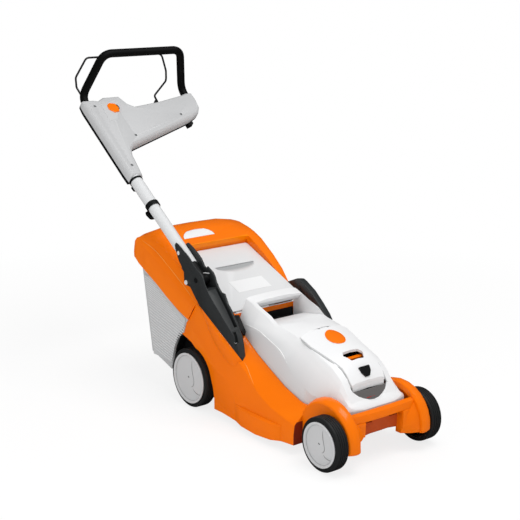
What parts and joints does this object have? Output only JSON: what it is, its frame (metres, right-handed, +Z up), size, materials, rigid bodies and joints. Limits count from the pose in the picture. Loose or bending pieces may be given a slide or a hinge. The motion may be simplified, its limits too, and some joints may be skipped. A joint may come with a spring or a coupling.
{
  "type": "cordless lawn mower",
  "caption": "Walk-behind battery lawn mower with a single-tube folding handle, rear grass box and central height adjustment.",
  "frame": {"origin": "on the ground under the middle of the machine's length, halfway between the wheels", "axes": "+Z up, +Y from the front of the mower to its rear and handle, +X to the mower's left"},
  "size_m": [0.4224, 1.2754, 1.0249],
  "materials": {
    "orange_plastic": "satin moulded",
    "pale_grey_plastic": "satin moulded",
    "grey_plastic": "fine texture",
    "black_plastic": "fine texture",
    "charcoal_plastic": "fine texture",
    "tyre_rubber": "matt ribbed tread",
    "grip_foam": "soft matt sleeve",
    "zinc_plated_steel": "zinc plated",
    "painted_blade_steel": "black painted",
    "silver_painted_tube": "silver painted",
    "smoked_plastic": "smoked, glossy"
  },
  "bodies": {
    "chassis": {"deck_housing": "orange_plastic", "rear_axle_carrier": "black_plastic", "hood": "pale_grey_plastic", "lid_hinge_pin": "zinc_plated_steel", "battery_bay": "black_plastic", "battery_pack": "charcoal_plastic", "front_window": "smoked_plastic", "motor": "charcoal_plastic", "motor_controller": "black_plastic", "carry_well": "black_plastic", "flap_hinge_rod": "zinc_plated_steel", "flap_spring": "zinc_plated_steel", "right_bracket": "charcoal_plastic", "left_fin": "charcoal_plastic", "fold_pin": "black_plastic", "bracket_screw": "zinc_plated_steel", "bracket_bolt": "zinc_plated_steel"},
    "lid": {"battery_lid": "pale_grey_plastic", "lid_badge": "orange_plastic"},
    "latch": {"lid_latch": "black_plastic"},
    "cutter": {"blade_carrier": "black_plastic", "blade": "painted_blade_steel", "blade_bolt": "zinc_plated_steel"},
    "front_crank": {"front_axle": "zinc_plated_steel"},
    "rear_crank": {"rear_axle": "zinc_plated_steel"},
    "link": {"height_link": "zinc_plated_steel"},
    "lever": {"height_lever": "black_plastic"},
    "wheel_front_right": {"front_wheel_right": "tyre_rubber", "front_wheel_right_cap": "pale_grey_plastic"},
    "wheel_front_left": {"front_wheel_left": "tyre_rubber", "front_wheel_left_cap": "pale_grey_plastic"},
    "wheel_rear_right": {"rear_wheel_right": "tyre_rubber", "rear_wheel_right_cap": "pale_grey_plastic"},
    "wheel_rear_left": {"rear_wheel_left": "tyre_rubber", "rear_wheel_left_cap": "pale_grey_plastic"},
    "flap": {"discharge_flap": "grey_plastic"},
    "grass_box": {"box_cover": "orange_plastic", "box_tub": "grey_plastic"},
    "indicator": {"fill_indicator": "pale_grey_plastic"},
    "handle_lower": {"handle_foot": "black_plastic", "lower_tube": "silver_painted_tube"},
    "handle_upper": {"upper_tube": "silver_painted_tube", "tube_clamp": "black_plastic", "collar_clip": "black_plastic", "control_housing_upper": "pale_grey_plastic", "control_housing_lower": "black_plastic", "housing_screw_1": "zinc_plated_steel", "housing_screw_2": "zinc_plated_steel", "housing_screw_3": "zinc_plated_steel", "housing_screw_4": "zinc_plated_steel", "handle_loop": "grip_foam"},
    "clamp": {"clamp_lever": "black_plastic"},
    "button": {"start_button": "orange_plastic"},
    "bail": {"motor_stop_bail": "black_plastic"}
  },
  "joints": [
    {"name": "height_adjust", "type": "hinge", "parent": "chassis", "child": "rear_crank", "pos_m": [0, 0.06933, 0.07712], "axis": [1, 0, 0], "range_deg": [0, 70]},
    {"name": "front_crank_turn", "type": "hinge", "parent": "chassis", "child": "front_crank", "pos_m": [0, -0.52567, 0.06222], "axis": [1, 0, 0], "range_deg": [0, 70]},
    {"name": "link_turn", "type": "hinge", "parent": "rear_crank", "child": "link", "pos_m": [0.1314, 0.0808, 0.0935], "axis": [1, 0, 0], "range_deg": [-70, 0]},
    {"name": "height_lever_turn", "type": "hinge", "parent": "chassis", "child": "lever", "pos_m": [0.18, -0.142, 0.1344], "axis": [1, 0, 0], "range_deg": [-28.6, 0]},
    {"name": "front_right_spin", "type": "hinge", "parent": "front_crank", "child": "wheel_front_right", "pos_m": [-0.171, -0.5595, 0.07453], "axis": [1, 0, 0], "continuous": true},
    {"name": "front_left_spin", "type": "hinge", "parent": "front_crank", "child": "wheel_front_left", "pos_m": [0.171, -0.5595, 0.07453], "axis": [1, 0, 0], "continuous": true},
    {"name": "rear_right_spin", "type": "hinge", "parent": "rear_crank", "child": "wheel_rear_right", "pos_m": [-0.171, 0.0355, 0.08943], "axis": [1, 0, 0], "continuous": true},
    {"name": "rear_left_spin", "type": "hinge", "parent": "rear_crank", "child": "wheel_rear_left", "pos_m": [0.171, 0.0355, 0.08943], "axis": [1, 0, 0], "continuous": true},
    {"name": "blade_spin", "type": "hinge", "parent": "chassis", "child": "cutter", "pos_m": [0, -0.276, 0.036], "axis": [0, 0, 1], "continuous": true},
    {"name": "lid_open", "type": "hinge", "parent": "chassis", "child": "lid", "pos_m": [0, -0.3525, 0.3025], "axis": [-1, 0, 0], "range_deg": [0, 75]},
    {"name": "latch_press", "type": "slide", "parent": "lid", "child": "latch", "axis": [0, 0.8425, -0.5388], "range_m": [0, 0.0015], "stiffness_N_per_m": 300, "springref_m": -0.001},
    {"name": "flap_lift", "type": "hinge", "parent": "chassis", "child": "flap", "pos_m": [0, -0.1035, 0.308], "axis": [1, 0, 0], "range_deg": [0, 52], "stiffness_Nm_per_rad": 0.4, "springref_deg": -17.19},
    {"name": "box_slide", "type": "slide", "parent": "chassis", "child": "grass_box", "axis": [0, 0.933, 0.36], "range_m": [0, 0.12]},
    {"name": "indicator_lift", "type": "hinge", "parent": "grass_box", "child": "indicator", "pos_m": [-0.033, 0.194, 0.47097], "axis": [1, 0, 0], "range_deg": [0, 18]},
    {"name": "handle_fold", "type": "hinge", "parent": "chassis", "child": "handle_lower", "pos_m": [-0.176, -0.01716, 0.4027], "axis": [-1, 0, 0], "range_deg": [-140, 0]},
    {"name": "handle_length", "type": "slide", "parent": "handle_lower", "child": "handle_upper", "axis": [0, 0.8202, 0.5721], "range_m": [-0.09, 0]},
    {"name": "clamp_lever_turn", "type": "hinge", "parent": "handle_upper", "child": "clamp", "pos_m": [-0.176, 0.24832, 0.55523], "axis": [1, 0, 0], "range_deg": [0, 26]},
    {"name": "button_press", "type": "slide", "parent": "handle_upper", "child": "button", "axis": [0, 0.6468, -0.7627], "range_m": [0, 0.002], "stiffness_N_per_m": 300, "springref_m": -0.001},
    {"name": "bail_pull", "type": "hinge", "parent": "handle_upper", "child": "bail", "pos_m": [-0.031, 0.56802, 0.84281], "axis": [1, 0, 0], "range_deg": [0, 14], "stiffness_Nm_per_rad": 0.6, "springref_deg": -11.46}
  ],
  "couplings": [
    {"joint": "front_crank_turn", "follows": "height_adjust", "ratio": 1},
    {"joint": "link_turn", "follows": "height_adjust", "ratio": -1},
    {"joint": "height_lever_turn", "follows": "height_adjust", "ratio": -0.404}
  ]
}
